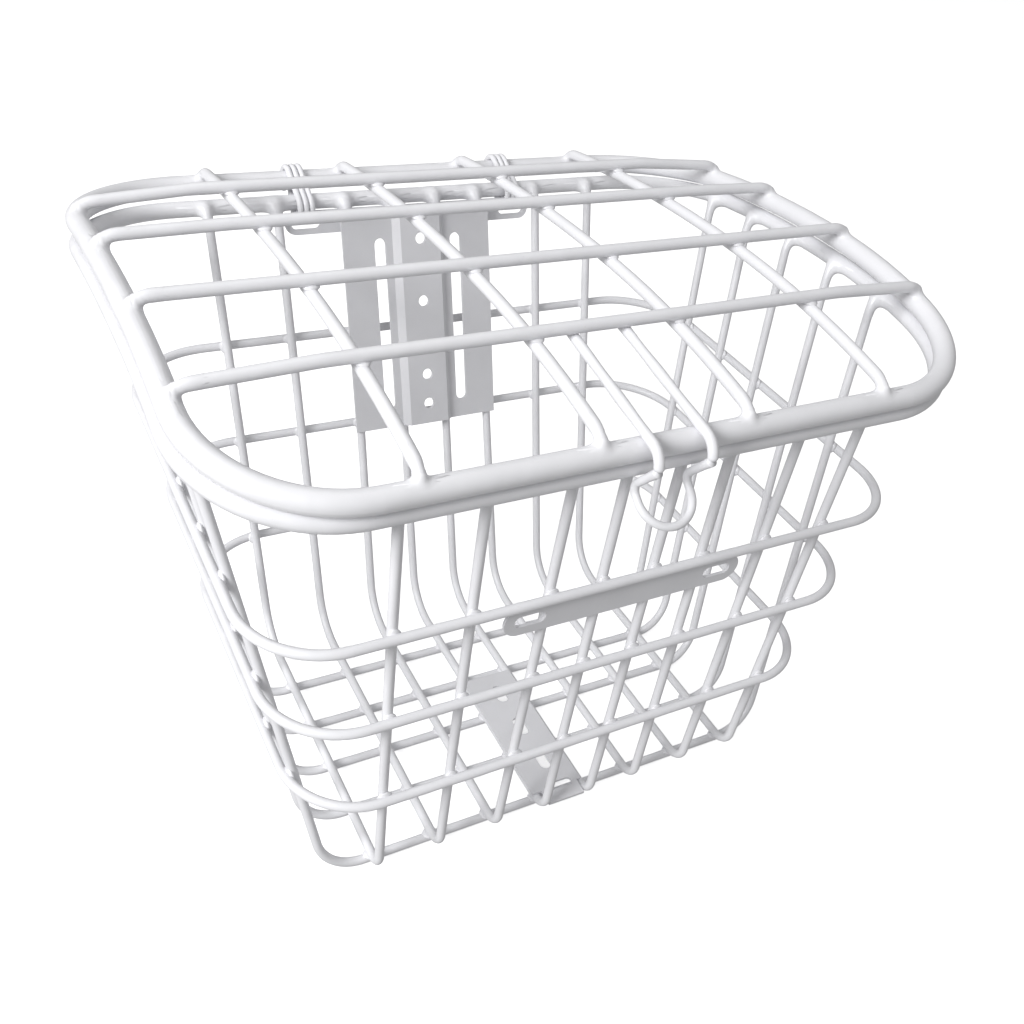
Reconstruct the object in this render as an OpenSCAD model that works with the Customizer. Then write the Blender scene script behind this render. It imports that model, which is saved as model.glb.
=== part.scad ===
// Bicycle front basket in coated steel wire, with a hinged wire lid and a spring latch.
// The frame has +Z up and -Y towards the latch. The origin is under the middle of the
// bounding box, on the plane that the bottom wires stand on. All sizes are millimetres.

/* [Overall] */
// Width of the basket rim, between the centres of its tube
rim_w = 361; // [345:1:385]
// Depth of the basket rim, between the centres of its tube
rim_d = 257.5; // [245:0.5:275]
// Height of the rim at its crown, above the surface the basket stands on
rim_crown_z = 245; // [225:1:265]

/* [Tubes and wires] */
// Diameter of the rim tube with its coating
rim_tube_d = 8; // [7:0.1:9]
// Diameter of the lid's frame tube with its coating
lid_tube_d = 10; // [8.5:0.1:11]
// Diameter of the basket wires with their coating
wire_d = 4.6; // [4:0.1:5]
// Diameter of the lid wires with their coating
lid_wire_d = 5.6; // [4.8:0.1:6]
// Diameter of the latch's two legs
leg_d = 4.4; // [4:0.1:4.8]
// Diameter of the latch's spring wire
latch_wire_d = 3.2; // [2.8:0.1:3.4]
// Diameter of the hinge coil wire
coil_wire_d = 3; // [2.6:0.1:3.2]
// Depth of the weld where two wires cross
weld_bite = 0.25; // [0.15:0.05:0.3]

/* [Basket walls] */
// Lean of the rear wall from upright, in degrees
rear_lean = 19.6; // [16:0.2:21]
// Half width of the bottom at the side bends
bottom_half_w = 127.2; // [120:0.2:134]
// Distances from the centre line of the front-to-back wires at the rim
long_wire_top = [13.3, 38.5, 76.3, 112];
// Distances from the centre line of the front-to-back wires at the bottom
long_wire_bottom = [13.3, 41.3, 72.8, 104.7];
// Places of the left-to-right wires along the bottom, measured from the rim's middle
cross_wire_bottom = [-112.3, -83.1, -53.9, -24.7, 4.6];
// Places of the same wires where they meet the rim
cross_wire_top = [-53.2, -19.2, 15.2, 49.4, 83.7];
// Heights of the three hoops
hoop_z = [64.4, 116.9, 165.9];
// Corner radius of the hoops at the front
hoop_front_corner = 36; // [30:1:42]
// Corner radius of the hoops at the rear
hoop_rear_corner = 42; // [34:1:44]
// Bend radius of the front-to-back wires at the front
front_bend_r = 10; // [7:1:14]
// Bend radius of the front-to-back wires at the rear
rear_bend_r = 28; // [18:1:34]
// Bend radius of the left-to-right wires
side_bend_r = 23; // [16:1:26]

/* [Arch] */
// Place of the arch's crown, measured from the rim's middle
crown_y = -20; // [-30:1:-10]
// Radius of the rim's arch towards the front
rim_front_r = 307; // [280:1:400]
// Radius of the rim's arch towards the rear
rim_rear_r = 700; // [660:1:710]
// Corner radius of the rim at the front
rim_front_corner = 56; // [50:1:60]
// Corner radius of the rim at the rear
rim_rear_corner = 54; // [50:1:56]
// Radius of the lid's arch towards the front
lid_front_r = 283; // [265:1:300]
// Radius of the lid's arch towards the rear
lid_rear_r = 612; // [610:1:650]
// Corner radius of the lid at the front
lid_front_corner = 56; // [50:1:60]
// Corner radius of the lid at the rear
lid_rear_corner = 60; // [58:1:62]

/* [Lid] */
// Gap between the closed lid's front bar and the rim under it
seat_gap = 0.4; // [0.3:0.1:0.8]
// How much narrower each side of the lid is than the rim
lid_side_step = 2; // [0:0.5:3]
// How far the lid's front bar stands in front of the rim
lid_front_step = 1.8; // [0.5:0.1:2.5]
// How far the lid's rear bar stands behind the rim
hinge_step = 15.1; // [14.6:0.1:18]
// Places of the lid's cross wires, measured from the rim's middle, from rear to front
lid_cross_y = [92, 42.4, -17.8, -73.8];
// Half length of the cross wires' level middle part
lid_level_half = 124; // [118:1:130]
// Bend radius where the cross wires turn down to the frame
lid_bend_r = 60; // [40:1:80]
// Distances from the centre line of the lid's long wires
lid_long_x = [35, 108.4];

/* [Latch] */
// Sideways place of the latch
latch_x = -4; // [-10:0.5:10]
// Distance between the two legs of the latch wire, between centres
latch_gap = 25.2; // [22:0.2:28]
// Bend radius of the legs in front of the lid's bar
leg_bend_r = 9; // [8:0.5:10]
// Straight part of the spring wire between its neck and the finger loop
loop_straight = 7; // [4:0.5:10]
// Angle of the finger loop below level, in degrees
loop_angle = 36; // [25:1:45]
// Bend radius of the neck under the rim
neck_bend_r = 4; // [3:0.5:4.5]
// Gap between the neck and the rim above it
neck_gap = 2.5; // [2:0.1:3]
// Clearance of the ball in its cup, where the spring wire flexes
ball_clear = 0.1; // [0.08:0.01:0.15]

/* [Hinge coils] */
// Distance of each hinge coil from the centre line
coil_x = 61; // [58:0.5:62]
// Turns of wire in each coil
coil_turns = 3; // [2:1:3]
// Running clearance of the coils round the lid's rear bar
coil_clear = 0.35; // [0.3:0.05:0.5]

/* [Rear strip] */
// Length of the strip
strip_l = 144; // [136:1:148]
// Width of the strip
strip_w = 12; // [11:0.5:12.5]
// Length of the strip's slots
strip_slot_l = 16; // [14:0.5:17]
// Width of the strip's slots
strip_slot_w = 6; // [5.5:0.1:6.4]
// Distance of the two short slots from the centre line
strip_slot_x = 32; // [28:1:36]

/* [Rear mounting plate] */
// Width of the plate
plate_w = 87; // [84:1:94]
// Height of the plate along the wall
plate_h = 122; // [118:1:126]
// Thickness of all the pressed sheet parts
sheet_t = 1.6; // [1.2:0.1:2]
// Half width of the raised channel up the middle
channel_half_w = 14.5; // [12:0.5:17]
// Depth of that channel
channel_depth = 3.5; // [2:0.1:4.5]
// Diameter of the round holes
plate_hole_d = 6; // [5:0.1:7]
// How far the holes and slots lie below the plate's middle
pattern_drop = 3; // [0:0.5:4]
// Hole spacing in the two outer groups
hole_pitch = 17; // [15:0.5:18]
// Hole spacing across the middle
hole_middle = 24.5; // [22:0.5:27]
// Distance of each long slot from the centre line
slot_x = 22.4; // [21:0.1:24]
// Width of the long slots
slot_w = 6.5; // [5:0.1:7]
// Length of the long slots
slot_l = 95; // [80:1:96]
// Depth of the folded lip along the plate's top edge
lip_depth = 4.5; // [3:0.5:6]

/* [Front plate] */
// Length of the plate
front_plate_l = 122; // [116:1:130]
// Width of the plate
front_plate_w = 15; // [13:0.5:16]
// Distance between its two slots
front_slot_pitch = 97; // [94:1:100]
// Length of its slots
front_slot_l = 15; // [12:0.5:16]
// Width of its slots
front_slot_w = 6; // [4.5:0.1:6.5]

/* [Bottom plate] */
// Width of the plate
bottom_plate_w = 29; // [28:0.5:36]
// Length of the plate
bottom_plate_l = 94; // [90:1:104]
// Sideways place of the plate
bottom_plate_x = -1.5; // [-2:0.5:1]
// Distance of the first slot from the plate's rear edge
bottom_slot_edge = 15; // [12:0.5:18]
// Distance between its three slots along the plate
bottom_slot_pitch = 25; // [22:0.5:26]
// Length of those slots
bottom_slot_l = 12; // [9:0.5:14]
// Width of the slots
bottom_slot_w = 6; // [5:0.1:7]
// Length of the cross slot near the front
cross_slot_l = 16; // [12:0.5:17]

/* [Hidden] */
$fn = 32;
coat = [0.93, 0.93, 0.945];
lap = 0.1;
bend_full = 0.04;
crown_gap = 0.3;

// An arched loop is level at its crown. Each end is an arc of radius r, then corners of
// radius c in the plane that the arc ends in, then a bar that lies reach away from the crown.
function end_slope(reach, r, c) = asin(reach / norm([r, c])) - atan2(c, r);
function end_drop(reach, r, c) = let (b = end_slope(reach, r, c)) r * (1 - cos(b)) + c * sin(b);
function arc_drop(d, r) = r - sqrt(r * r - d * d);
function arch_z(y, top, front_r, rear_r) = top - arc_drop(y - crown_y, y > crown_y ? rear_r : front_r);
function on_circle(c, r, a) = [c.x + r * cos(a), c.y + r * sin(a)];

// Basket: the rim's front and rear bars as [y, z], and the walls inside it
front_reach = crown_y + rim_d / 2;
rear_reach = rim_d / 2 - crown_y;
rim_front = [-rim_d / 2, rim_crown_z - end_drop(front_reach, rim_front_r, rim_front_corner)];
rim_rear = [rim_d / 2, rim_crown_z - end_drop(rear_reach, rim_rear_r, rim_rear_corner)];
rim_touch = (rim_tube_d + wire_d) / 2 - weld_bite;
wire_step = wire_d - weld_bite;
cross_z = wire_d / 2;
long_z = cross_z + wire_step;
wire_end_over = 0.8;
front_y = rim_front.x + rim_touch;
rear_foot = [rim_rear.x - rim_touch * cos(rear_lean), rim_rear.y + rim_touch * sin(rear_lean)];
function rear_y(z) = rear_foot.x - (rear_foot.y - z) * tan(rear_lean);
side_top_x = rim_w / 2 - rim_touch;
side_lean = atan2(side_top_x - bottom_half_w, rim_crown_z - cross_z);
function side_x(z) = bottom_half_w + (z - cross_z) * tan(side_lean);

// Lid: its front bar rests over the rim's front bar, and the rest follows
lid_front = [rim_front.x - lid_front_step,
    rim_front.y + sqrt(pow((rim_tube_d + lid_tube_d) / 2 + seat_gap, 2) - pow(lid_front_step, 2))];
lid_front_reach = crown_y - lid_front.x;
lid_rear_reach = rear_reach + hinge_step;
lid_crown_z = lid_front.y + end_drop(lid_front_reach, lid_front_r, lid_front_corner);
lid_rear = [rim_rear.x + hinge_step,
    lid_crown_z - end_drop(lid_rear_reach, lid_rear_r, lid_rear_corner)];
lid_half_w = rim_w / 2 - lid_side_step;
lid_touch = (lid_tube_d + lid_wire_d) / 2 - weld_bite;
lid_wire_step = lid_wire_d - weld_bite;
long_crown_z = lid_crown_z + lid_touch - lid_wire_step;
function chord_r(reach, drop) = (reach * reach + drop * drop) / (2 * drop);
long_front_r = chord_r(lid_front_reach, long_crown_z - lid_front.y - lid_touch);
long_rear_r = chord_r(lid_rear_reach, long_crown_z - lid_rear.y - lid_touch);
function lid_long_z(y) = arch_z(y, long_crown_z, long_front_r, long_rear_r);
function lid_frame_z(y) = arch_z(y, lid_crown_z, lid_front_r, lid_rear_r);

// Latch, as [y, z]: the pivot balls in the legs' ends, the neck under the rim, the finger loop
leg_r = leg_d / 2;
latch_r = latch_wire_d / 2;
ball_r = latch_r + 0.1;
leg_arc = [lid_front.x - 3.7, lid_front.y - 2.5];
leg_end_rise = 1.2;
pivot = [leg_arc.x - leg_bend_r, leg_arc.y];
neck = [rim_front.x - 1.9, rim_front.y - rim_tube_d / 2 - latch_r - neck_gap];
loop_start = on_circle(neck, loop_straight, 180 + loop_angle);
loop_r = latch_gap / 2;
leg_weld = [lid_cross_y[3], lid_long_z(lid_cross_y[3]) + lid_wire_step
    - (lid_wire_d + leg_d) / 2 + weld_bite];
leg_span = leg_weld - leg_arc;
leg_angle = atan2(leg_span.y, leg_span.x) + acos(leg_bend_r / norm(leg_span));
leg_top = on_circle(leg_arc, leg_bend_r, leg_angle);
leg_overrun = 5;

// Hinge coils, as [y, z]: each turn runs round the lid's bar, over the rim and through the strip
coil_r = (lid_tube_d + coil_wire_d) / 2 + coil_clear;
coil_pitch = coil_wire_d + 0.2;
coil_span = lid_rear - rim_rear;
coil_tilt = atan2(coil_span.y, coil_span.x)
    + asin((coil_r - (rim_tube_d + coil_wire_d) / 2 + weld_bite) / norm(coil_span));
coil_length = norm(coil_span) + 2.2;
coil_inner = on_circle(lid_rear, -coil_length, coil_tilt);
strip_z = coil_inner.y - 5.3;

// The sheet parts, and the middle of the bounding box
front_plate_z = hoop_z[2] - (wire_d + front_plate_w) / 2 + weld_bite;
plate_top_z = rim_rear.y - 2;
groove_top = 8.3;
groove_floor = 5;
groove_end = 7;
tongue_gap = 0.5;
y_mid = (lid_rear.x + coil_r + coil_wire_d / 2
    + loop_start.x - loop_r * cos(loop_angle) - latch_r) / 2;

// Moves a part from the rim's middle to the middle of the bounding box
module in_frame() { translate([0, -y_mid, 0]) color(coat) children(); }

// Turns the XY plane into the YZ plane, or into the XZ plane
module to_yz() { rotate([90, 0, 90]) children(); }
module to_xz() { rotate([90, 0, 0]) children(); }

// A straight round bar from p to q, which runs on past each end by lap
module rod(p, q, d, lap = 0) {
    v = q - p;
    translate(p - v * lap / norm(v)) rotate([0, acos(v.z / norm(v)), atan2(v.y, v.x)])
        cylinder(h = norm(v) + 2 * lap, d = d);
}

// A round bar bent along an arc in the XY plane. A bend is fuller than the straight bars that
// run into it by bend_full, so that each joint is one clean step.
module bend(r, start, sweep, d) {
    rotate([0, 0, sweep < 0 ? start + sweep : start]) rotate_extrude(angle = abs(sweep))
        translate([r, 0]) circle(d = d);
}

function heading(a, b) = atan2(b.y - a.y, b.x - a.x);
function wrap(a) = a > 180 ? a - 360 : a < -180 ? a + 360 : a;
function turn(p, i) = wrap(heading(p[i], p[i + 1]) - heading(p[i - 1], p[i]));
function cut(p, r, i) = (i == 0 || i == len(p) - 1) ? 0 : r * tan(abs(turn(p, i)) / 2);

// A wire in the XY plane along the points p, with the bend radii r at its inner points
module bent_wire(p, r, d) {
    for (i = [0 : len(p) - 2]) {
        h = heading(p[i], p[i + 1]);
        a = cut(p, r[i - 1], i);
        l = norm(p[i + 1] - p[i]) - cut(p, r[i], i + 1);
        rod([p[i].x + a * cos(h), p[i].y + a * sin(h), 0],
            [p[i].x + l * cos(h), p[i].y + l * sin(h), 0], d, lap);
    }
    for (i = [1 : len(p) - 2]) {
        h = heading(p[i - 1], p[i]);
        s = sign(turn(p, i));
        a = cut(p, r[i - 1], i);
        n = r[i - 1] * s;
        translate([p[i].x - a * cos(h) - n * sin(h), p[i].y - a * sin(h) + n * cos(h), 0])
            bend(r[i - 1], h - 90 * s, turn(p, i), d + bend_full);
    }
}

// A closed level loop with straight sides and round corners
module level_loop(half_w, y0, y1, r0, r1, d) {
    rod([r0 - half_w, y0, 0], [half_w - r0, y0, 0], d, lap);
    rod([r1 - half_w, y1, 0], [half_w - r1, y1, 0], d, lap);
    for (s = [-1, 1]) {
        rod([s * half_w, y0 + r0, 0], [s * half_w, y1 - r1, 0], d, lap);
        translate([s * (half_w - r0), y0 + r0, 0]) bend(r0, s > 0 ? -90 : 180, 90, d + bend_full);
        translate([s * (half_w - r1), y1 - r1, 0]) bend(r1, s > 0 ? 0 : 90, 90, d + bend_full);
    }
}

// An arc that starts just clear of the crown, and the short sleeve that two such arcs end in
module crown_arc(r, sweep, d) {
    start = sign(sweep) * crown_gap / r * 180 / PI;
    bend(r, 90 + start, sweep - start + sign(sweep) * lap / r * 180 / PI, d);
}
module crown_sleeve(x, top, d) {
    rod([x, crown_y - 2 * crown_gap, top], [x, crown_y + 2 * crown_gap, top], d + bend_full);
}

// One end of an arched loop: the bar, its two corners and the two side arcs up to the crown
module arched_end(half_w, reach, r, c, top, d, way) {
    b = end_slope(reach, r, c);
    bar_y = crown_y + way * reach;
    bar_z = top - end_drop(reach, r, c);
    rod([c - half_w, bar_y, bar_z], [half_w - c, bar_y, bar_z], d, lap);
    for (s = [-1, 1]) {
        translate([s * (half_w - c), crown_y + way * r * sin(b), top - r * (1 - cos(b))])
            rotate([-way * b, 0, 0])
                bend(c, s > 0 ? (way > 0 ? 0 : -90) : (way > 0 ? 90 : 180), 90, d + bend_full);
        translate([s * half_w, crown_y, top - r]) to_yz() crown_arc(r, -way * b, d);
    }
}

module basket_rim() {
    in_frame() {
        arched_end(rim_w / 2, front_reach, rim_front_r, rim_front_corner, rim_crown_z,
            rim_tube_d, -1);
        arched_end(rim_w / 2, rear_reach, rim_rear_r, rim_rear_corner, rim_crown_z,
            rim_tube_d, 1);
        for (s = [-1, 1]) crown_sleeve(s * rim_w / 2, rim_crown_z, rim_tube_d);
    }
}

module hoop(i) {
    z = hoop_z[i];
    in_frame() translate([0, 0, z])
        level_loop(side_x(z) + wire_step / cos(side_lean) + 0.2, front_y - wire_step,
            rear_y(z) + wire_step / cos(rear_lean), hoop_front_corner, hoop_rear_corner, wire_d);
}

// A front-to-back wire: front arm, bottom, leaning rear arm. Its plane leans sideways.
module long_wire(i) {
    s = i < 4 ? -1 : 1;
    k = i < 4 ? 3 - i : i - 4;
    spread = atan2(long_wire_top[k] - long_wire_bottom[k], rim_front.y - long_z);
    front_top = (rim_front.y + wire_end_over - long_z) / cos(spread);
    rear_top = (rear_foot.y + wire_end_over - long_z) / cos(spread);
    in_frame() translate([s * long_wire_bottom[k], 0, long_z])
        rotate([0, s * spread, 0]) to_yz()
            bent_wire([[front_y, front_top], [front_y, 0], [rear_y(long_z), 0],
                [rear_y(long_z) + rear_top * tan(rear_lean), rear_top]],
                [front_bend_r, rear_bend_r], wire_d);
}

// A left-to-right wire: a bottom run with two leaning arms. Its plane leans back.
module cross_wire(i) {
    top_z = arch_z(cross_wire_top[i], rim_crown_z, rim_front_r, rim_rear_r) + wire_end_over;
    lean = atan2(cross_wire_top[i] - cross_wire_bottom[i], top_z - cross_z);
    arm = (top_z - cross_z) / cos(lean);
    in_frame() translate([0, cross_wire_bottom[i], cross_z]) rotate([-lean, 0, 0]) to_xz()
        bent_wire([[-side_top_x, arm], [-bottom_half_w, 0], [bottom_half_w, 0],
            [side_top_x, arm]], [side_bend_r, side_bend_r], wire_d);
}

// A flat strip with round ends in the XY plane, lying on Z = 0, and a slot cut the same way
module round_strip(l, w, t) {
    for (s = [-1, 1]) translate([s * (l - w) / 2, 0, 0]) cylinder(h = t, d = w);
    translate([(w - l) / 2, -w / 2, 0]) cube([l - w, w, t]);
}
module slot(l, w, depth) { translate([0, 0, -1]) round_strip(l, w, depth + 2); }

// Places a flat part on the leaning rear wall: local Y runs up the wall, local Z points out of
// the basket, and Z = 0 is off the wires' centres by offset
module on_rear_wall(z, offset) {
    translate([0, rear_y(z), z]) rotate([90 - rear_lean, 0, 0])
        mirror([0, 0, 1]) translate([0, 0, offset]) children();
}

module rear_strip() {
    in_frame() on_rear_wall(strip_z, wire_d / 2 - weld_bite) difference() {
        round_strip(strip_l, strip_w, sheet_t);
        for (x = [-coil_x, -strip_slot_x, 0, strip_slot_x, coil_x]) translate([x, 0, 0])
            slot(x == strip_slot_x || x == -strip_slot_x ? strip_slot_l - 5 : strip_slot_l,
                strip_slot_w, sheet_t);
    }
}

// The pressed sheet's cross-section: a raised channel up the middle, towards the inside
module plate_profile() {
    h = channel_half_w;
    e = channel_depth;
    polygon([[-plate_w / 2, 0], [-h, 0], [e - h, -e], [h - e, -e], [h, 0], [plate_w / 2, 0],
        [plate_w / 2, -sheet_t], [h + 0.4 * sheet_t, -sheet_t],
        [h - e + 0.4 * sheet_t, -e - sheet_t], [e - h - 0.4 * sheet_t, -e - sheet_t],
        [-h - 0.4 * sheet_t, -sheet_t], [-plate_w / 2, -sheet_t]]);
}

module rear_mounting_plate() {
    depth = channel_depth + sheet_t;
    rows = [for (k = [0 : 2]) hole_middle / 2 + k * hole_pitch];
    in_frame() on_rear_wall(plate_top_z, weld_bite - wire_d / 2)
        translate([0, -plate_h / 2, 0]) difference() {
            union() {
                translate([0, plate_h / 2, 0]) rotate([90, 0, 0])
                    linear_extrude(height = plate_h) plate_profile();
                translate([-plate_w / 2, plate_h / 2 - sheet_t, -lip_depth])
                    cube([plate_w, sheet_t, lip_depth]);
            }
            for (y = rows, s = [-1, 1]) translate([0, s * y - pattern_drop, -depth - 1])
                cylinder(h = depth + 2, d = plate_hole_d);
            for (s = [-1, 1]) translate([s * slot_x, -pattern_drop, -depth]) rotate([0, 0, 90])
                slot(slot_l, slot_w, depth);
        }
}

module front_plate() {
    in_frame() translate([0, front_y - wire_d / 2 + weld_bite, front_plate_z]) to_xz()
        difference() {
            round_strip(front_plate_l, front_plate_w, sheet_t);
            for (s = [-1, 1]) translate([s * front_slot_pitch / 2, 0, 0])
                slot(front_slot_l, front_slot_w, sheet_t);
        }
}

// The plate on the bottom wires. In front it narrows to a tongue between the two middle wires.
module bottom_plate() {
    bend_y = front_y + front_bend_r - 1.5;
    tongue_w = 2 * (long_wire_bottom[0] - wire_d / 2 - tongue_gap);
    rear_edge = front_y - wire_d / 2 + bottom_plate_l;
    in_frame() translate([0, 0, long_z + wire_d / 2 - weld_bite]) difference() {
        union() {
            translate([bottom_plate_x - bottom_plate_w / 2, bend_y, 0])
                cube([bottom_plate_w, rear_edge - bend_y, sheet_t]);
            translate([-tongue_w / 2, front_y, 0])
                cube([tongue_w, bend_y - front_y + 1, sheet_t]);
        }
        for (k = [0 : 2]) translate([0, rear_edge - bottom_slot_edge - k * bottom_slot_pitch, 0])
            rotate([0, 0, 90]) slot(bottom_slot_l, bottom_slot_w, sheet_t);
        translate([0, bend_y + 0.6, 0]) slot(cross_slot_l, bottom_slot_w - 1, sheet_t);
    }
}

// One coil of hinge wire. Each turn is two half rings in line, and the lower legs step across.
module hinge_coil(side) {
    x0 = side * coil_x - (coil_turns - 1) * coil_pitch / 2;
    up = [-coil_r * sin(coil_tilt), coil_r * cos(coil_tilt)];
    in_frame() for (i = [0 : coil_turns - 1]) {
        x = x0 + i * coil_pitch;
        for (end = [[coil_inner, 90], [lid_rear, -90]])
            translate([x, end[0].x, end[0].y]) to_yz()
                bend(coil_r, coil_tilt + end[1], 180, coil_wire_d + bend_full);
        rod([x, coil_inner.x + up.x, coil_inner.y + up.y],
            [x, lid_rear.x + up.x, lid_rear.y + up.y], coil_wire_d, lap);
        if (i > 0) {
            low = [[x - coil_pitch, coil_inner.x - up.x, coil_inner.y - up.y],
                [x, lid_rear.x - up.x, lid_rear.y - up.y]];
            rod(low[0], low[1], coil_wire_d);
            for (p = low) translate(p) sphere(d = coil_wire_d + 0.12);
        }
    }
}

module lid_frame() {
    in_frame() {
        arched_end(lid_half_w, lid_front_reach, lid_front_r, lid_front_corner, lid_crown_z,
            lid_tube_d, -1);
        arched_end(lid_half_w, lid_rear_reach, lid_rear_r, lid_rear_corner, lid_crown_z,
            lid_tube_d, 1);
        for (s = [-1, 1]) crown_sleeve(s * lid_half_w, lid_crown_z, lid_tube_d);
    }
}

// A lid wire from side to side: level over the long wires, then down to the frame's sides
module lid_cross_wire(i) {
    y = lid_cross_y[i];
    mid = lid_long_z(y) + lid_wire_step;
    end = lid_frame_z(y) + lid_touch;
    inset = max(0, y - lid_rear.x + lid_rear_corner);
    half = lid_half_w - lid_rear_corner + sqrt(pow(lid_rear_corner, 2) - pow(inset, 2));
    in_frame() translate([0, y, 0]) {
        if (mid - end > 0.3) to_xz() bent_wire([[-half, end], [-lid_level_half, mid],
            [lid_level_half, mid], [half, end]], [lid_bend_r, lid_bend_r], lid_wire_d);
        else rod([-half, 0, end], [half, 0, end], lid_wire_d);
    }
}

// A lid wire from rear to front, under the cross wires and on top of the two bars
module lid_long_wire(i) {
    x = (i < 2 ? -1 : 1) * lid_long_x[i == 0 || i == 3 ? 1 : 0];
    in_frame() {
        for (end = [[-lid_front_reach, long_front_r], [lid_rear_reach, long_rear_r]])
            translate([x, crown_y, long_crown_z - end[1]]) to_yz()
                crown_arc(end[1], -asin(end[0] / end[1]), lid_wire_d);
        crown_sleeve(x, long_crown_z, lid_wire_d);
    }
}

// A leg of the latch: from under the front cross wire, over the lid's front bar and down
module latch_leg(side) {
    x = latch_x + side * latch_gap / 2;
    tail = on_circle(leg_weld, leg_overrun, leg_angle - 90);
    sweep = 180 - leg_angle - asin(leg_end_rise / leg_bend_r);
    in_frame() difference() {
        union() {
            rod([x, tail.x, tail.y], [x, leg_top.x, leg_top.y], leg_d, lap);
            translate([x, leg_arc.x, leg_arc.y]) to_yz()
                bend(leg_bend_r, leg_angle, sweep, leg_d + bend_full);
        }
        translate([x, pivot.x, pivot.y]) sphere(r = ball_r + ball_clear);
    }
}

// The spring wire: a ball in each leg's end, down to the neck under the rim, the finger loop
module latch_loop() {
    in_frame() {
        for (s = [-1, 1]) translate([latch_x + s * latch_gap / 2, 0, 0]) {
            to_yz() bent_wire([pivot, neck, loop_start], [neck_bend_r], latch_wire_d);
            translate([0, pivot.x, pivot.y]) sphere(r = ball_r);
        }
        translate([latch_x, loop_start.x, loop_start.y]) rotate([loop_angle, 0, 0])
            bend(loop_r, 180, 180, latch_wire_d + bend_full);
    }
}

basket_rim();
hoop(0);  // hoop_lower
hoop(1);  // hoop_middle
hoop(2);  // hoop_upper
long_wire(0);  // long_wire_1
long_wire(1);  // long_wire_2
long_wire(2);  // long_wire_3
long_wire(3);  // long_wire_4
long_wire(4);  // long_wire_5
long_wire(5);  // long_wire_6
long_wire(6);  // long_wire_7
long_wire(7);  // long_wire_8
cross_wire(0);  // cross_wire_1
cross_wire(1);  // cross_wire_2
cross_wire(2);  // cross_wire_3
cross_wire(3);  // cross_wire_4
cross_wire(4);  // cross_wire_5
rear_strip();
rear_mounting_plate();
front_plate();
bottom_plate();
hinge_coil(-1);  // hinge_coil_left
hinge_coil(1);  // hinge_coil_right
lid_frame();
lid_cross_wire(0);  // lid_cross_wire_1
lid_cross_wire(1);  // lid_cross_wire_2
lid_cross_wire(2);  // lid_cross_wire_3
lid_cross_wire(3);  // lid_cross_wire_4
lid_long_wire(0);  // lid_long_wire_1
lid_long_wire(1);  // lid_long_wire_2
lid_long_wire(2);  // lid_long_wire_3
lid_long_wire(3);  // lid_long_wire_4
latch_leg(-1);  // latch_leg_left
latch_leg(1);  // latch_leg_right
latch_loop();
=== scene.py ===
"""Bicycle front basket in coated wire: weld fillets, wire ends, coating and studio."""
import math
import random

import bmesh
import bpy
import numpy as np
from bpy.props import FloatProperty, FloatVectorProperty, PointerProperty
from mathutils import Matrix, Vector
from mathutils.kdtree import KDTree


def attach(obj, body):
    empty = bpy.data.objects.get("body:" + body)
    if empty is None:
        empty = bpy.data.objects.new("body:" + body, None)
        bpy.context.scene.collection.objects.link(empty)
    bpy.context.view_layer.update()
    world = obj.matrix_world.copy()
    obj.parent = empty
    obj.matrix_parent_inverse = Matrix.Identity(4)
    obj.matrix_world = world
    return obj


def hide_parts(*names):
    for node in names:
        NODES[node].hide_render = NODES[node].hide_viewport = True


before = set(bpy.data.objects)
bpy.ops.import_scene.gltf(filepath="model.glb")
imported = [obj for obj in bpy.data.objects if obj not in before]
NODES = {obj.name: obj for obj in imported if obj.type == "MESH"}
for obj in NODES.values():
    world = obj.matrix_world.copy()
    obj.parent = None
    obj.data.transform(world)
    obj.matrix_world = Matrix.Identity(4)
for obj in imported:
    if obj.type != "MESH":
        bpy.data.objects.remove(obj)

bl_info = {
    "name": "Wire basket",
    "version": (1, 0, 0),
    "blender": (4, 5, 0),
    "location": "3D View > Sidebar > Basket",
    "description": "Welds, wire ends and coating for a bicycle front basket",
    "category": "Object",
}

MM = 0.001


# ---------------------------------------------------------------- sizes a user would change

class WeldSizes(bpy.types.PropertyGroup):
    """Weld fillets and wire ends."""
    fillet: FloatProperty(name="Fillet", description="How far a weld fillet reaches from a wire",
                          default=0.0019, unit="LENGTH")
    collar: FloatProperty(name="Collar", description="Fillet where a wire meets the rim",
                          default=0.0070, unit="LENGTH")
    foot: FloatProperty(name="Foot", description="Fillet where a lid wire ends on the lid's bar",
                        default=0.0048, unit="LENGTH")


class CoatingLook(bpy.types.PropertyGroup):
    """The dipped white coating."""
    colour: FloatVectorProperty(name="Colour", description="Colour of the coating", size=3,
                                subtype="COLOR", default=(0.80, 0.80, 0.825))
    sheet: FloatVectorProperty(name="Sheet colour", description="Colour of the pressed plates",
                               size=3, subtype="COLOR", default=(0.73, 0.73, 0.755))
    roughness: FloatProperty(name="Roughness", description="Roughness of the coating",
                             default=0.40, min=0.0, max=1.0)
    ripple: FloatProperty(name="Ripple", description="Height of the coating's slow waves",
                          default=0.00035, unit="LENGTH")


def sizes():
    return bpy.context.scene.basket_welds


def look():
    return bpy.context.scene.basket_coating


# ---------------------------------------------------------------- shader graph helper

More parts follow.
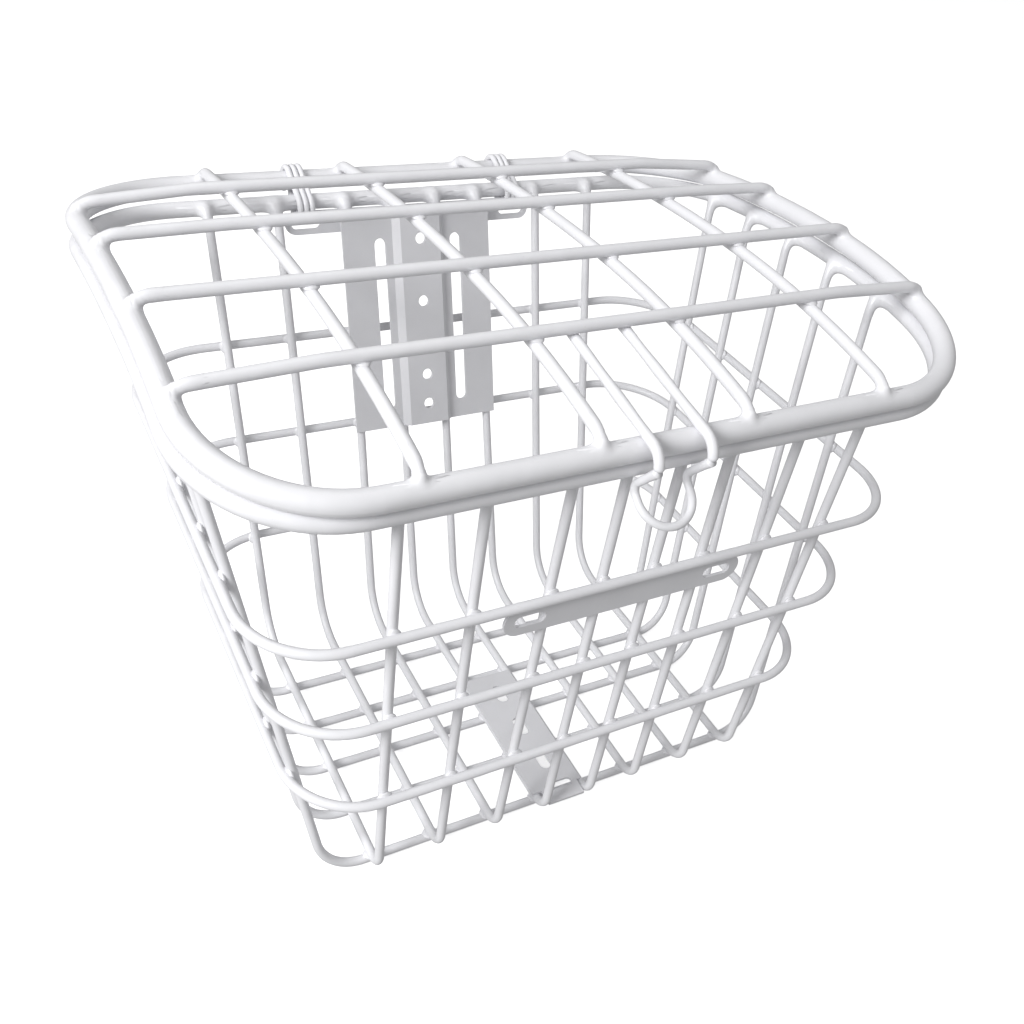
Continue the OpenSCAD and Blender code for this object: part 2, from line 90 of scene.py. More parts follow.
class Sock:
    """A shader socket or a number that Python's operators turn into Math nodes."""

    def __init__(self, graph, out):
        self.g, self.out = graph, out

    def _m(self, op, a, b=None):
        values = [a] if b is None else [a, b]
        return self.g.node("ShaderNodeMath", {"operation": op}, dict(enumerate(values)))[0]

    def __add__(self, o): return self._m("ADD", self, o)
    def __radd__(self, o): return self._m("ADD", o, self)
    def __sub__(self, o): return self._m("SUBTRACT", self, o)
    def __rsub__(self, o): return self._m("SUBTRACT", o, self)
    def __mul__(self, o): return self._m("MULTIPLY", self, o)
    def __rmul__(self, o): return self._m("MULTIPLY", o, self)
    def low(self, o): return self._m("MINIMUM", self, o)


class Graph:
    """One material's node tree."""

    def __init__(self, name):
        self.mat = bpy.data.materials.new(name)
        self.mat.use_nodes = True
        self.tree = self.mat.node_tree
        self.tree.nodes.clear()

    def node(self, kind, settings=None, values=None):
        """Adds a node: its settings first, a ramp's stops among them, then its sockets."""
        n = self.tree.nodes.new(kind)
        for k, v in (settings or {}).items():
            if k == "stops":
                marks = n.color_ramp.elements
                while len(marks) < len(v):
                    marks.new(0.5)
                for mark, (position, colour) in zip(marks, v):
                    mark.position, mark.color = position, colour
            else:
                setattr(n, k, v)
        for k, v in (values or {}).items():
            if isinstance(v, Sock):
                self.tree.links.new(v.out, n.inputs[k])
            else:
                n.inputs[k].default_value = v
        return [Sock(self, o) for o in n.outputs]

    def ramp(self, fac, stops):
        return self.node("ShaderNodeValToRGB", {"stops": stops}, {0: fac})[0]

    def mix(self, fac, a, b):
        return self.node("ShaderNodeMix", {"data_type": "RGBA"}, {0: fac, 6: a, 7: b})[2]


def rgba(c, k=1.0):
    return (c[0] * k, c[1] * k, c[2] * k, 1.0)


def coating(name, colour, wave, pits, rough):
    """Dipped plastic coat: slow waves, fine orange peel, faint tone change and dull patches."""
    g = Graph(name)
    place = g.node("ShaderNodeTexCoord")[3]
    slow = g.node("ShaderNodeTexNoise", {}, {"Vector": place, "Scale": 95.0, "Detail": 2.0})[0]
    fine = g.node("ShaderNodeTexNoise", {}, {"Vector": place, "Scale": 900.0, "Detail": 3.0})[0]
    tone = g.node("ShaderNodeTexNoise", {}, {"Vector": place, "Scale": 38.0, "Detail": 5.0,
                                             "Roughness": 0.62})[0]
    speck = g.node("ShaderNodeTexVoronoi", {"feature": "F1"}, {"Vector": place, "Scale": 210.0})[0]
    dust = g.ramp(speck, [(0.0, (1, 1, 1, 1)), (0.055, (1, 1, 1, 1)), (0.085, (0, 0, 0, 1))])
    patch = g.ramp(tone, [(0.35, (0, 0, 0, 1)), (0.68, (1, 1, 1, 1))])
    base = g.mix(patch, rgba(colour, 0.975), rgba(colour, 1.02))
    base = g.mix(dust * 0.10, base, rgba((0.50, 0.47, 0.44)))
    gloss = (patch * 0.10 + (rough - 0.05) + fine * 0.05).low(0.9)
    height = slow * wave + fine * pits
    bump = g.node("ShaderNodeBump", {}, {"Strength": 0.6, "Distance": 1.0, "Height": height})[0]
    shade = g.node("ShaderNodeBsdfPrincipled", {}, {
        "Base Color": base, "Roughness": gloss, "Normal": bump, "IOR": 1.49,
        "Coat Weight": 0.18, "Coat Roughness": 0.22})[0]
    g.node("ShaderNodeOutputMaterial", {}, {"Surface": shade})
    return g.mat


def wire_coat():
    m = bpy.data.materials.get("dipped_wire_coat")
    return m or coating("dipped_wire_coat", look().colour, look().ripple, 0.00002,
                        look().roughness)


def weld_coat():
    m = bpy.data.materials.get("pooled_weld_coat")
    return m or coating("pooled_weld_coat", [c * 0.99 for c in look().colour],
                        look().ripple * 1.3, 0.00003, look().roughness - 0.03)


def sheet_coat():
    m = bpy.data.materials.get("sprayed_sheet_coat")
    return m or coating("sprayed_sheet_coat", look().sheet, look().ripple * 0.5, 0.00004,
                        look().roughness + 0.06)


# ---------------------------------------------------------------- the wires' centre lines, in mm

RIM_W, RIM_D, CROWN = 361.0, 257.5, 245.0
CROWN_Y, Y_MID = -20.0, 2.04663
WIRE_R, RIM_R, LID_R, LID_WIRE_R, LEG_R, LATCH_R = 2.3, 4.0, 5.0, 2.8, 2.2, 1.6
BITE = 0.25
LEAN = math.radians(19.6)
CROSS_Z = 2.3
LONG_Z = CROSS_Z + 4.6 - BITE


def end_slope(reach, r, c):
    return math.asin(reach / math.hypot(r, c)) - math.atan2(c, r)


def end_drop(reach, r, c):
    b = end_slope(reach, r, c)
    return r * (1 - math.cos(b)) + c * math.sin(b)


def arched_line(half_w, front, rear, top, step=1.2):
    """Half of an arched loop on +X: from the middle of its front bar to the middle of its rear."""
    halves = []
    for way, (reach, r, c) in ((-1, front), (1, rear)):
        b = end_slope(reach, r, c)
        line = []
        n = int(r * b / step)
        for i in range(n + 1):
            t = b * i / n
            line.append((half_w, CROWN_Y + way * r * math.sin(t), top - r * (1 - math.cos(t))))
        y0, z0 = line[-1][1:]
        n = int(c * math.pi / 2 / step)
        for i in range(1, n + 1):
            t = math.pi / 2 * i / n
            d = c * math.sin(t)
            line.append((half_w - c + c * math.cos(t), y0 + way * d * math.cos(b),
                         z0 - d * math.sin(b)))
        y1, z1 = line[-1][1:]
        n = int((half_w - c) / step)
        line += [((half_w - c) * (1 - i / n), y1, z1) for i in range(1, n + 1)]
        halves.append(line)
    line = halves[0][::-1] + halves[1][1:]
    return line + [(-x, y, z) for x, y, z in line[::-1]]


def bent_line(points, radii, step=1.2):
    """Points every step along a polyline whose inner corners are rounded."""
    pts = [Vector(p) for p in points]
    line = [pts[0]]
    for i in range(1, len(pts) - 1):
        a, b = (pts[i - 1] - pts[i]).normalized(), (pts[i + 1] - pts[i]).normalized()
        half = a.angle(b) / 2
        cut = radii[i - 1] / math.tan(half)
        centre = pts[i] + (a + b).normalized() * radii[i - 1] / math.sin(half)
        p, q = pts[i] + a * cut, pts[i] + b * cut
        n = max(4, int(radii[i - 1] * (math.pi - 2 * half) / step))
        line.append(p)
        line += [centre + (p - centre).slerp(q - centre, k / n) * radii[i - 1]
                 for k in range(1, n)]
        line.append(q)
    line.append(pts[-1])
    out = []
    for p, q in zip(line, line[1:]):
        n = max(1, int((q - p).length / step))
        out += [p.lerp(q, k / n) for k in range(n)]
    return out + [line[-1]]


def arch_z(y, top, front_r, rear_r):
    r = rear_r if y > CROWN_Y else front_r
    return top - r + math.sqrt(r * r - (y - CROWN_Y) ** 2)


FRONT_REACH, REAR_REACH = RIM_D / 2 + CROWN_Y, RIM_D / 2 - CROWN_Y
RIM_FRONT, RIM_REAR = (FRONT_REACH, 307.0, 56.0), (REAR_REACH, 700.0, 54.0)
RIM_FRONT_Z = CROWN - end_drop(*RIM_FRONT)
RIM_REAR_Z = CROWN - end_drop(*RIM_REAR)
TOUCH = RIM_R + WIRE_R - BITE
FRONT_Y = -RIM_D / 2 + TOUCH
FOOT = (RIM_D / 2 - TOUCH * math.cos(LEAN), RIM_REAR_Z + TOUCH * math.sin(LEAN))
SIDE_TOP_X, SIDE_BOTTOM_X = RIM_W / 2 - TOUCH, 127.2
SIDE_LEAN = math.atan2(SIDE_TOP_X - SIDE_BOTTOM_X, CROWN - CROSS_Z)
LID_FRONT_Z = RIM_FRONT_Z + math.sqrt(9.4 ** 2 - 1.8 ** 2)
LID_FRONT, LID_REAR = (FRONT_REACH + 1.8, 283.0, 56.0), (REAR_REACH + 15.1, 612.0, 60.0)
LID_CROWN = LID_FRONT_Z + end_drop(*LID_FRONT)
LID_REAR_Z = LID_CROWN - end_drop(*LID_REAR)
LID_HALF = RIM_W / 2 - 2.0
LID_TOUCH = LID_R + LID_WIRE_R - BITE
LID_STEP = 2 * LID_WIRE_R - BITE
LONG_CROWN = LID_CROWN + LID_TOUCH - LID_STEP


def chord_r(reach, drop):
    return (reach * reach + drop * drop) / (2 * drop)


LONG_FRONT_R = chord_r(LID_FRONT[0], LONG_CROWN - LID_FRONT_Z - LID_TOUCH)
LONG_REAR_R = chord_r(LID_REAR[0], LONG_CROWN - LID_REAR_Z - LID_TOUCH)


def rear_y(z):
    return FOOT[0] - (FOOT[1] - z) * math.tan(LEAN)


def side_x(z):
    return SIDE_BOTTOM_X + (z - CROSS_Z) * math.tan(SIDE_LEAN)


def hoop_line(z, front=36.0, rear=42.0):
    half = side_x(z) + (4.6 - BITE) / math.cos(SIDE_LEAN) + 0.2
    y0 = FRONT_Y - 4.6 + BITE
    y1 = rear_y(z) + (4.6 - BITE) / math.cos(LEAN)
    return bent_line([(0, y0, z), (half, y0, z), (half, y1, z), (-half, y1, z), (-half, y0, z),
                      (0, y0, z)], [front, rear, rear, front])


def long_line(top_x, bottom_x):
    spread = math.atan2(abs(top_x) - abs(bottom_x), RIM_FRONT_Z - LONG_Z)
    s = math.copysign(1, bottom_x)
    front = (RIM_FRONT_Z + 0.8 - LONG_Z) / math.cos(spread)
    rear = (FOOT[1] + 0.8 - LONG_Z) / math.cos(spread)
    flat = bent_line([(0, FRONT_Y, front), (0, FRONT_Y, 0), (0, rear_y(LONG_Z), 0),
                      (0, rear_y(LONG_Z) + rear * math.tan(LEAN), rear)], [10.0, 28.0])
    turned = [Matrix.Rotation(s * spread, 3, "Y") @ p for p in flat]
    return [p + Vector((bottom_x, 0, LONG_Z)) for p in turned]


def cross_line(top_y, bottom_y):
    top_z = arch_z(top_y, CROWN, RIM_FRONT[1], RIM_REAR[1]) + 0.8
    lean = math.atan2(top_y - bottom_y, top_z - CROSS_Z)
    arm = (top_z - CROSS_Z) / math.cos(lean)
    flat = bent_line([(-SIDE_TOP_X, 0, arm), (-SIDE_BOTTOM_X, 0, 0), (SIDE_BOTTOM_X, 0, 0),
                      (SIDE_TOP_X, 0, arm)], [23.0, 23.0])
    turned = [Matrix.Rotation(-lean, 3, "X") @ p for p in flat]
    return [p + Vector((0, bottom_y, CROSS_Z)) for p in turned]


def lid_cross_line(y):
    mid = arch_z(y, LONG_CROWN, LONG_FRONT_R, LONG_REAR_R) + LID_STEP
    end = arch_z(y, LID_CROWN, LID_FRONT[1], LID_REAR[1]) + LID_TOUCH
    if mid - end < 0.3:
        return bent_line([(-LID_HALF, y, end), (LID_HALF, y, end)], [])
    return bent_line([(-LID_HALF, y, end), (-124, y, mid), (124, y, mid), (LID_HALF, y, end)],
                     [60.0, 60.0])


def lid_long_line(x):
    y0, y1 = CROWN_Y - LID_FRONT[0], CROWN_Y + LID_REAR[0]
    n = 230
    ys = [y0 + (y1 - y0) * i / n for i in range(n + 1)]
    return [Vector((x, y, arch_z(y, LONG_CROWN, LONG_FRONT_R, LONG_REAR_R))) for y in ys]


LONG_TOP, LONG_BOTTOM = (13.3, 38.5, 76.3, 112.0), (13.3, 41.3, 72.8, 104.7)
CROSS_TOP = (-53.2, -19.2, 15.2, 49.4, 83.7)
CROSS_BOTTOM = (-112.3, -83.1, -53.9, -24.7, 4.6)
LID_CROSS_Y = (92.0, 42.4, -17.8, -73.8)
LID_LONG_X = (-108.4, -35.0, 35.0, 108.4)


def wire_lines():
    """Every wire as (name, family, body, radius, points in metres in the part's frame)."""
    rows = [("rim", "rim", "basket", RIM_R,
             arched_line(RIM_W / 2, RIM_FRONT, RIM_REAR, CROWN))]
    rows += [(f"hoop_{i}", "hoop", "basket", WIRE_R, hoop_line(z))
             for i, z in enumerate((64.4, 116.9, 165.9))]
    for i in range(8):
        s, k = (-1, 3 - i) if i < 4 else (1, i - 4)
        rows.append((f"long_{i}", "long", "basket", WIRE_R,
                     long_line(s * LONG_TOP[k], s * LONG_BOTTOM[k])))
    rows += [(f"cross_{i}", "cross", "basket", WIRE_R, cross_line(t, b))
             for i, (t, b) in enumerate(zip(CROSS_TOP, CROSS_BOTTOM))]
    rows.append(("lid_frame", "lid_frame", "lid", LID_R,
                 arched_line(LID_HALF, LID_FRONT, LID_REAR, LID_CROWN)))
    rows += [(f"lid_cross_{i}", "lid_cross", "lid", LID_WIRE_R, lid_cross_line(y))
             for i, y in enumerate(LID_CROSS_Y)]
    rows += [(f"lid_long_{i}", "lid_long", "lid", LID_WIRE_R, lid_long_line(x))
             for i, x in enumerate(LID_LONG_X)]
    shift = Vector((0, -Y_MID, 0))
    return [(n, f, b, r * MM, [(Vector(p) + shift) * MM for p in line])
            for n, f, b, r, line in rows]


def crossings(lines, reach=0.0009):
    """Where two wires of one body touch: families, names, body, point, axes, normal, radii."""
    trees = {}
    for name, _, _, _, pts in lines:
        tree = KDTree(len(pts))
        for i, p in enumerate(pts):
            tree.insert(p, i)
        tree.balance()
        trees[name] = tree
    found = []
    for ia, (na, fa, ba, ra, pa) in enumerate(lines):
        for nb, fb, bb, rb, pb in lines[ia + 1:]:
            if ba != bb or fa == fb:
                continue
            near = [trees[nb].find(p) for p in pa]
            gap = [d for _, _, d in near]
            for i in range(len(pa)):
                lo, hi = max(0, i - 6), min(len(pa), i + 7)
                if gap[i] > ra + rb + reach or gap[i] != min(gap[lo:hi]) or gap[i] in gap[lo:i]:
                    continue
                j = near[i][1]
                a = (pa[min(i + 2, len(pa) - 1)] - pa[max(i - 2, 0)]).normalized()
                b = (pb[min(j + 2, len(pb) - 1)] - pb[max(j - 2, 0)]).normalized()
                q, p = pb[j], pa[i]
                # slide to the closest points of the two tangents
                w, ab = p - q, a.dot(b)
                k = 1 - ab * ab
                if k < 0.05:
                    continue
                p = p + a * max(-0.0015, min(0.0015, (ab * b.dot(w) - a.dot(w)) / k))
                q = q + b * max(-0.0015, min(0.0015, (b.dot(w) - ab * a.dot(w)) / k))
                n = q - p
                if n.length < 1e-5:
                    continue
                n.normalize()
                found.append({"pair": (fa, fb), "names": (na, nb), "body": ba, "at": p + n * ra,
                              "a": a, "b": b, "n": n, "ra": ra, "rb": rb})
    return found


# ---------------------------------------------------------------- pieces

def finish_piece(bm, name, body, material):
    mesh = bpy.data.meshes.new(name)
    bmesh.ops.recalc_face_normals(bm, faces=bm.faces)
    bm.to_mesh(mesh)
    bm.free()
    mesh.shade_smooth()
    obj = bpy.data.objects.new(name, mesh)
    bpy.context.scene.collection.objects.link(obj)
    mesh.materials.append(material)
    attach(obj, body)
    return obj


def saddle(bm, at, a, b, n, size_a, size_b, size_n, rng):
    """A pooled weld: a rounded pad between two wires, a little uneven as dipped coating is."""
    a = (a - n * a.dot(n)).normalized()
    b = n.cross(a)
    made = bmesh.ops.create_icosphere(bm, subdivisions=3, radius=1.0)
    phase = [rng.uniform(0, math.tau) for _ in range(3)]
    for v in made["verts"]:
        x, y, z = v.co
        swell = 1 + 0.05 * math.sin(3 * x + phase[0]) + 0.05 * math.sin(3 * y + phase[1])
        pinch = 1 - 0.28 * abs(z) ** 2.0
        v.co = at + a * (x * size_a * swell * pinch) + b * (y * size_b * swell * pinch) \
            + n * (z * size_n)


def piece_of(found, name, body, rule):
    rng = random.Random(len(name) * 7 + len(found))
    bm = bmesh.new()
    for c in found:
        rule(bm, c, rng)
    return finish_piece(bm, name, body, weld_coat())


RIM_REACH, FOOT_REACH = 0.017, 0.015
FILLET_SINK = 0.02 * MM
FILLET_HALVINGS = 16
TIP_BARS = {"lid_cross": ("lid_frame", 1.5 * MM), "lid_long": ("lid_frame", 1.5 * MM),
            "long": ("rim", 1.6 * MM), "cross": ("rim", 1.6 * MM)}
TIP_LENGTH = 9.0 * MM
TIP_STEPS = (0.0, 0.05, 0.15, 0.35, 0.65)


def thin_tip(pts, radii, bar, sink):
    """Thins the first stretch of a wire and sinks its tip into the bar it is welded to."""
    head = [pts[0].lerp(pts[1], t) for t in TIP_STEPS]
    pts, radii = head + pts[1:], [radii[0]] * len(head) + radii[1:]
    toward = (min(bar, key=lambda p: (p - pts[0]).length) - pts[0]).normalized()
    tip = pts[0].copy()
    for i, p in enumerate(pts):
        d = (p - tip).length
        if d > TIP_LENGTH:
            break
        u = 1 - d / TIP_LENGTH
        edge = min(1.0, d / (1.4 * MM))
        radii[i] *= (1 - 0.5 * u * u) * math.sqrt(1 - (1 - edge) ** 2)
        pts[i] = p + toward * sink * u * u
    return pts, radii


def drawn_lines():
    """Every wire's line and radii, in metres, with the thinned ends."""
    rows = {}
    for name, family, body, r, pts in wire_lines():
        radii = [r] * len(pts)
        if family in TIP_BARS:
            bar, sink = TIP_BARS[family]
            pts, radii = thin_tip(pts, radii, rows[bar][2], sink)
            pts, radii = thin_tip(pts[::-1], radii[::-1], rows[bar][2], sink)
            pts, radii = pts[::-1], radii[::-1]
        rows[name] = (family, body, pts, radii)
    return rows


def skin_gap(at, line, radii):
    """How far each point lies outside the skin of a tube along a line."""
    best = np.full(len(at), 1.0)
    for p, q, r0, r1 in zip(line, line[1:], radii, radii[1:]):
        seg = q - p
        t = np.clip((at - p) @ seg / max(float(seg @ seg), 1e-12), 0, 1)
        gap = np.linalg.norm(at - p - t[:, None] * seg, axis=1) - (r0 + (r1 - r0) * t)
        best = np.minimum(best, gap)
    return best


def fillet(bm, c, rows, blend, reach, level=5):
    """A concave weld: the smooth union of two tubes, seen out from where they touch."""
    at = np.array(c["at"][:])
    tubes = []
    for name in c["names"]:
        _, _, pts, radii = rows[name]
        near = [i for i, p in enumerate(pts) if (p - c["at"]).length < reach + 0.006]
        keep = near[::2] + ([near[-1]] if len(near) % 2 == 0 else [])
        tubes.append((np.array([pts[i][:] for i in keep]), np.array([radii[i] for i in keep])))
    verts = bmesh.ops.create_icosphere(bm, subdivisions=level, radius=1.0)["verts"]
    way = np.array([v.co[:] for v in verts])
    low, high = np.zeros(len(way)), np.full(len(way), reach)
    for _ in range(FILLET_HALVINGS):
        mid = (low + high) / 2
        gaps = [skin_gap(at + way * mid[:, None], *tube) for tube in tubes]
        lens = np.maximum(blend - abs(gaps[0] - gaps[1]), 0) / blend
        inside = np.minimum(*gaps) - lens * lens * blend / 4 < -FILLET_SINK
        low, high = np.where(inside, mid, low), np.where(inside, high, mid)
    for v, co in zip(verts, at + way * low[:, None]):
        v.co = co


class BASKET_OT_welds(bpy.types.Operator):
    """Pooled welds wherever two wires of the basket cross"""
    bl_idname = "basket.welds"
    bl_label = "Basket welds"

    def execute(self, context):
        f = sizes().fillet
        found = [c for c in crossings(wire_lines()) if c["body"] == "basket"]

        def cross(bm, c, rng):
            saddle(bm, c["at"], c["a"], c["b"], c["n"], c["rb"] + f * rng.uniform(0.5, 0.8),
                   c["ra"] + f * rng.uniform(0.5, 0.8), 0.0017, rng)

        rows = drawn_lines()

        def funnel(bm, c, rng):
            fillet(bm, c, rows, sizes().collar * rng.uniform(0.85, 1.1), RIM_REACH)

        hoops = [c for c in found if "hoop" in c["pair"]]
        rims = [c for c in found if "rim" in c["pair"]]
        floor = [c for c in found if c not in hoops and c not in rims]
        piece_of(hoops, "hoop_welds", "basket", cross)
        piece_of(rims, "rim_welds", "basket", funnel)
        piece_of(floor, "bottom_welds", "basket", cross)
        print("welds", len(hoops), len(rims), len(floor))
        return {"FINISHED"}


class BASKET_OT_lid_welds(bpy.types.Operator):
    """Pooled welds of the lid's grid and the flattened ends of its wires"""
    bl_idname = "basket.lid_welds"
    bl_label = "Lid welds"

    def execute(self, context):
        f = sizes().fillet
        lines = wire_lines()
        found = [c for c in crossings(lines) if c["body"] == "lid"]
        grid = [c for c in found if "lid_frame" not in c["pair"]]
        ends = [c for c in found if "lid_frame" in c["pair"]]

        def cross(bm, c, rng):
            saddle(bm, c["at"], c["a"], c["b"], c["n"], c["rb"] + f * rng.uniform(0.35, 0.6),
                   c["ra"] + f * rng.uniform(0.35, 0.6), 0.0019, rng)

        rows = drawn_lines()

        def foot(bm, c, rng):
            fillet(bm, c, rows, sizes().foot * rng.uniform(0.85, 1.1), FOOT_REACH)

        piece_of(grid, "lid_grid_welds", "lid", cross)
        piece_of(ends, "lid_frame_welds", "lid", foot)
        print("lid welds", len(grid), len(ends))
        return {"FINISHED"}


def drawn_wire(name, body, line, radii, node):
    """A round wire along points in metres, with a radius at each, as a closed mesh."""
    curve = bpy.data.curves.new(name, "CURVE")
    curve.dimensions, curve.bevel_depth, curve.bevel_resolution = "3D", 1.0, 6
    curve.use_fill_caps = True
    spline = curve.splines.new("POLY")
    spline.points.add(len(line) - 1)
    for point, p, r in zip(spline.points, line, radii):
        point.co = (*p, 1)
        point.radius = r
    made = bpy.data.objects.new(name + "_path", curve)
    bpy.context.scene.collection.objects.link(made)
    mesh = bpy.data.meshes.new_from_object(made.evaluated_get(
        bpy.context.evaluated_depsgraph_get()))
    bpy.data.objects.remove(made)
    bm = bmesh.new()
    bm.from_mesh(mesh)
    bmesh.ops.remove_doubles(bm, verts=bm.verts, dist=2e-6)
    obj = finish_piece(bm, name, body, wire_coat())
    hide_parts(node)
    return obj


class BASKET_OT_wire_ends(bpy.types.Operator):
    """The straight and bent wires with ends that thin out into the bars"""
    bl_idname = "basket.wire_ends"
    bl_label = "Wire ends"

    def execute(self, context):
        for name, (family, body, pts, radii) in drawn_lines().items():
            if family in TIP_BARS:
                node = f"{family}_wire_{int(name[-1]) + 1}"
                drawn_wire("drawn_" + node, body, pts, radii, node)
        return {"FINISHED"}


class BASKET_OT_coating(bpy.types.Operator):
    """The dipped coating of every wire, tube and plate"""
    bl_idname = "basket.coating"
    bl_label = "Coating"

    def execute(self, context):
        sheets = ("rear_strip", "rear_mounting_plate", "front_plate", "bottom_plate")
        for name, obj in NODES.items():
            material = sheet_coat() if name in sheets else wire_coat()
            if not obj.material_slots:
                obj.data.materials.append(material)
            for s in obj.material_slots:
                s.material = material
        return {"FINISHED"}


LATCH_X, LATCH_HALF = -4.0, 12.6
LEG_ARC = (-RIM_D / 2 - 1.8 - 3.7, LID_FRONT_Z - 2.5)
LEG_BEND, LEG_TAIL, LEG_WAVE = 9.0, 5.0, 0.12
LOOP_COAT, LOOP_FLARE = 0.2, 0.4
PIVOT = (LEG_ARC[0] - LEG_BEND, LEG_ARC[1])
NECK = (-RIM_D / 2 - 1.9, RIM_FRONT_Z - RIM_R - LATCH_R - 2.5)
LOOP_TILT = math.radians(36.0)
LOOP_START = (NECK[0] - 7.0 * math.cos(LOOP_TILT), NECK[1] - 7.0 * math.sin(LOOP_TILT))


def in_part(line, radii):
    """Points and radii in mm moved into the part's frame, in metres."""
    return [(p - Vector((0, Y_MID, 0))) * MM for p in line], [r * MM for r in radii]


def smooth_ends(line, radius, tip):
    """Radii that round off to nothing over the last stretch of a line."""
    out, run = [], 0.0
    back = [0.0]
    for p, q in zip(line[::-1], line[-2::-1]):
        run += (q - p).length
        back.append(run)
    for d, r in zip(back[::-1], radius):
        out.append(r * math.sqrt(max(0.0, 1 - (1 - d / tip) ** 2)) if d < tip else r)
    return out


class BASKET_OT_latch(bpy.types.Operator):
    """The latch: two legs over the lid's front bar and the thinner sprung finger loop"""
    bl_idname = "basket.latch"
    bl_label = "Latch"

    def execute(self, context):
        y = LID_CROSS_Y[3]
        weld = Vector((0, y, arch_z(y, LONG_CROWN, LONG_FRONT_R, LONG_REAR_R) + LID_STEP
                       - LID_WIRE_R - LEG_R + BITE))
        span = Vector((0, LEG_ARC[0], LEG_ARC[1])) - weld
        turn = math.atan2(-span.z, -span.y) + math.acos(LEG_BEND / span.length)
        top = Vector((0, LEG_ARC[0] + LEG_BEND * math.cos(turn),
                      LEG_ARC[1] + LEG_BEND * math.sin(turn)))
        start = weld + (weld - top).normalized() * LEG_TAIL
        for side, name in ((-1, "latch_leg_left"), (1, "latch_leg_right")):
            x = Vector((LATCH_X + side * LATCH_HALF, 0, 0))
            line = [start.lerp(top, i / 40) + x for i in range(40)]
            for i in range(25):
                t = turn + (math.pi - turn - math.asin(1.0 / LEG_BEND)) * i / 24
                line.append(Vector((0, LEG_ARC[0] + LEG_BEND * math.cos(t),
                                    LEG_ARC[1] + LEG_BEND * math.sin(t))) + x)
            full = [LEG_R + LEG_WAVE * math.sin(i * 0.35 + side) * (i < 45)
                    for i in range(len(line))]
            tail = line[-1] + (line[-1] - line[-2]).normalized() * 0.6
            line += [line[-1].lerp(tail, k / 5) for k in range(1, 6)]
            full += [LEG_R] * 5
            drawn_wire("drawn_" + name, "lid", *in_part(line, smooth_ends(line, full, 1.5)), name)
        half = bent_line([(0, *PIVOT), (0, *NECK), (0, *LOOP_START)], [4.0], 0.5)
        out = Vector((0, -math.cos(LOOP_TILT), -math.sin(LOOP_TILT)))
        side = Vector((LATCH_HALF, 0, 0))
        arc = [Vector((0, *LOOP_START)) + side * math.cos(math.pi * i / 40)
               + out * LATCH_HALF * math.sin(math.pi * i / 40) for i in range(1, 40)]
        line = [p + side for p in half] + arc + [p - side for p in half[::-1]]
        line = [p + Vector((LATCH_X, 0, 0)) for p in line]
        n = len(line)
        radii = [LATCH_R + LOOP_COAT + LOOP_FLARE * math.exp(-min(i, n - 1 - i) / 9.0)
                 + 0.05 * math.sin(i * 0.4) for i in range(n)]
        drawn_wire("drawn_latch_loop", "latch", *in_part(line, radii), "latch_loop")
        return {"FINISHED"}


# ---------------------------------------------------------------- studio

def area_light(name, size, power, at, to):
    light = bpy.data.lights.new(name, "AREA")
    light.shape, light.size, light.size_y, light.energy = "RECTANGLE", size[0], size[1], power
    obj = bpy.data.objects.new(name, light)
    obj.location = at
    obj.rotation_euler = (Vector(to) - Vector(at)).to_track_quat("-Z", "Y").to_euler()
    bpy.context.scene.collection.objects.link(obj)


AIR, FLOOR_GLOW = 0.38, 0.62
BACKDROP_R, BACKDROP_GLOW = 40.0, 1.05
CAM_AZIMUTH, CAM_ELEVATION, CAM_ROLL = (math.radians(d) for d in (-33.72, 37.29, 9.93))
CAM_TARGET, CAM_DISTANCE, CAM_LENS = (0.0807, 0.09285, 0.0154), 0.741, 38.25


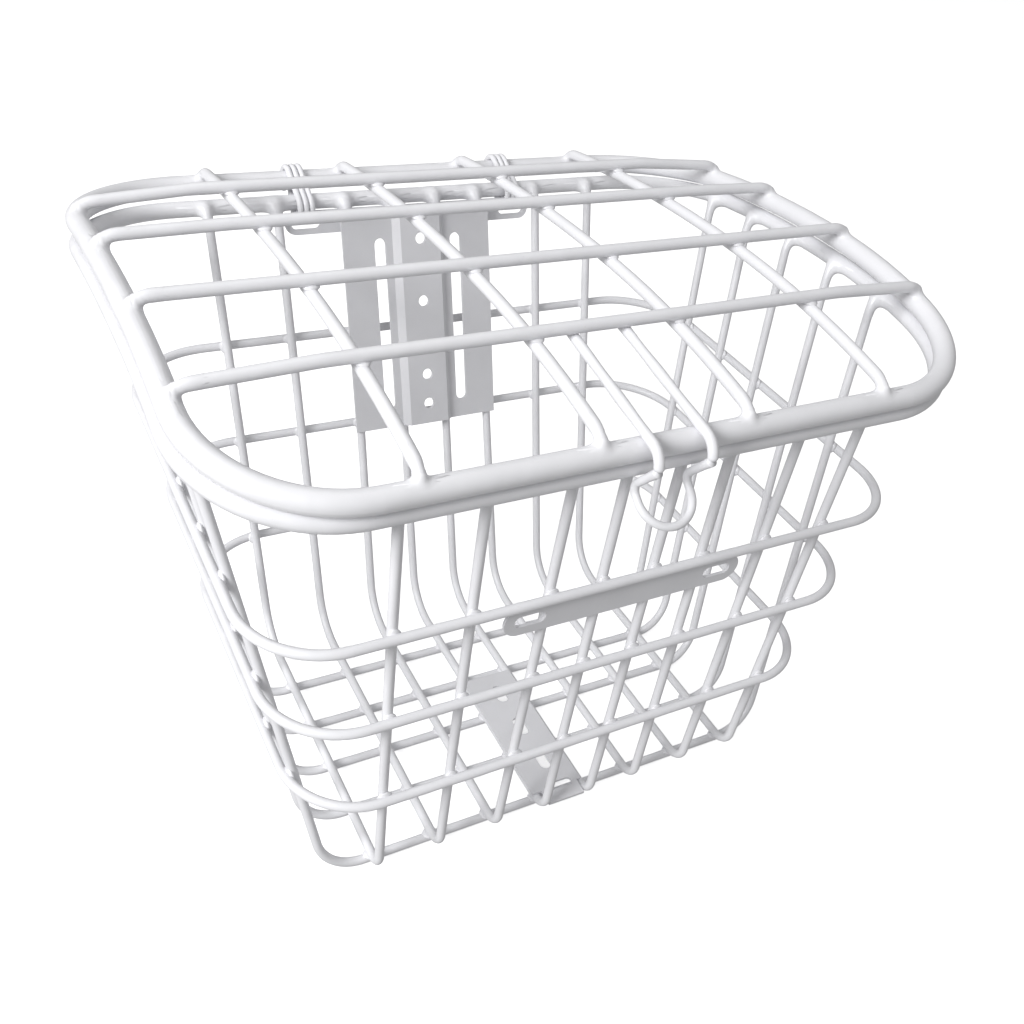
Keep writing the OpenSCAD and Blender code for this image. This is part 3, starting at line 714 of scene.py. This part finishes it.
class BASKET_OT_studio(bpy.types.Operator):
    """Pale floor, soft lights and the camera"""
    bl_idname = "basket.studio"
    bl_label = "Studio"

    def execute(self, context):
        scene = context.scene
        bm = bmesh.new()
        bmesh.ops.create_grid(bm, x_segments=1, y_segments=1, size=30.0)
        mesh = bpy.data.meshes.new("floor")
        bm.to_mesh(mesh)
        bm.free()
        floor = bpy.data.objects.new("floor", mesh)
        floor.location = (0, 0, -0.0003)
        scene.collection.objects.link(floor)
        g = Graph("floor_paper")
        shade = g.node("ShaderNodeBsdfPrincipled", {}, {
            "Base Color": (0.90, 0.90, 0.90, 1), "Roughness": 0.95,
            "Emission Color": (1, 1, 1, 1), "Emission Strength": FLOOR_GLOW})[0]
        g.node("ShaderNodeOutputMaterial", {}, {"Surface": shade})
        mesh.materials.append(g.mat)
        floor.visible_diffuse = False
        floor.visible_glossy = False

        bm = bmesh.new()
        bmesh.ops.create_icosphere(bm, subdivisions=4, radius=BACKDROP_R)
        mesh = bpy.data.meshes.new("backdrop")
        bm.to_mesh(mesh)
        bm.free()
        dome = bpy.data.objects.new("backdrop", mesh)
        scene.collection.objects.link(dome)
        g = Graph("backdrop_white")
        glow = g.node("ShaderNodeEmission", {}, {"Color": (1, 1, 1, 1), "Strength": BACKDROP_GLOW})[0]
        g.node("ShaderNodeOutputMaterial", {}, {"Surface": glow})
        mesh.materials.append(g.mat)
        for seen in ("diffuse", "glossy", "transmission", "shadow", "volume_scatter"):
            setattr(dome, "visible_" + seen, False)

        world = bpy.data.worlds.new("studio_air")
        world.use_nodes = True
        world.node_tree.nodes["Background"].inputs[0].default_value = (1, 1, 1, 1)
        world.node_tree.nodes["Background"].inputs[1].default_value = AIR
        scene.world = world
        area_light("key", (0.65, 0.65), 26.5, (-1.4, -0.45, 1.0), (0, 0, 0.12))
        area_light("top", (1.0, 1.0), 3.0, (0.1, 0.2, 1.7), (0, 0, 0.1))

        az, el, roll = CAM_AZIMUTH, CAM_ELEVATION, CAM_ROLL
        out = Vector((math.sin(az) * math.cos(el), -math.cos(az) * math.cos(el), math.sin(el)))
        target = Vector(CAM_TARGET)
        right = (-out).cross(Vector((0, 0, 1))).normalized()
        up = right.cross(-out).normalized()
        r2 = right * math.cos(roll) + up * math.sin(roll)
        u2 = up * math.cos(roll) - right * math.sin(roll)
        cam = bpy.data.cameras.new("camera")
        cam.lens, cam.sensor_width, cam.clip_start = CAM_LENS, 36.0, 0.01
        obj = bpy.data.objects.new("camera", cam)
        m = Matrix((r2, u2, out)).transposed().to_4x4()
        m.translation = target + out * CAM_DISTANCE
        obj.matrix_world = m
        scene.collection.objects.link(obj)
        scene.camera = obj
        scene.view_settings.view_transform = "Standard"
        return {"FINISHED"}


class BASKET_PT_panel(bpy.types.Panel):
    """Sizes and steps of the basket"""
    bl_label = "Wire basket"
    bl_space_type = "VIEW_3D"
    bl_region_type = "UI"
    bl_category = "Basket"

    def draw(self, context):
        for group in (context.scene.basket_welds, context.scene.basket_coating):
            for key in group.__annotations__:
                self.layout.prop(group, key)
        for step in STEPS:
            self.layout.operator(step.bl_idname)


STEPS = (BASKET_OT_coating, BASKET_OT_welds, BASKET_OT_lid_welds, BASKET_OT_wire_ends,
         BASKET_OT_latch, BASKET_OT_studio)
CLASSES = (WeldSizes, CoatingLook) + STEPS + (BASKET_PT_panel,)


def register():
    for c in CLASSES:
        bpy.utils.register_class(c)
    bpy.types.Scene.basket_welds = PointerProperty(type=WeldSizes)
    bpy.types.Scene.basket_coating = PointerProperty(type=CoatingLook)


def unregister():
    del bpy.types.Scene.basket_coating
    del bpy.types.Scene.basket_welds
    for c in reversed(CLASSES):
        bpy.utils.unregister_class(c)


def main():
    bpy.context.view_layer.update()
    register()
    for step in STEPS:
        group, name = step.bl_idname.split(".")
        getattr(getattr(bpy.ops, group), name)()


if __name__ == "__main__":
    main()
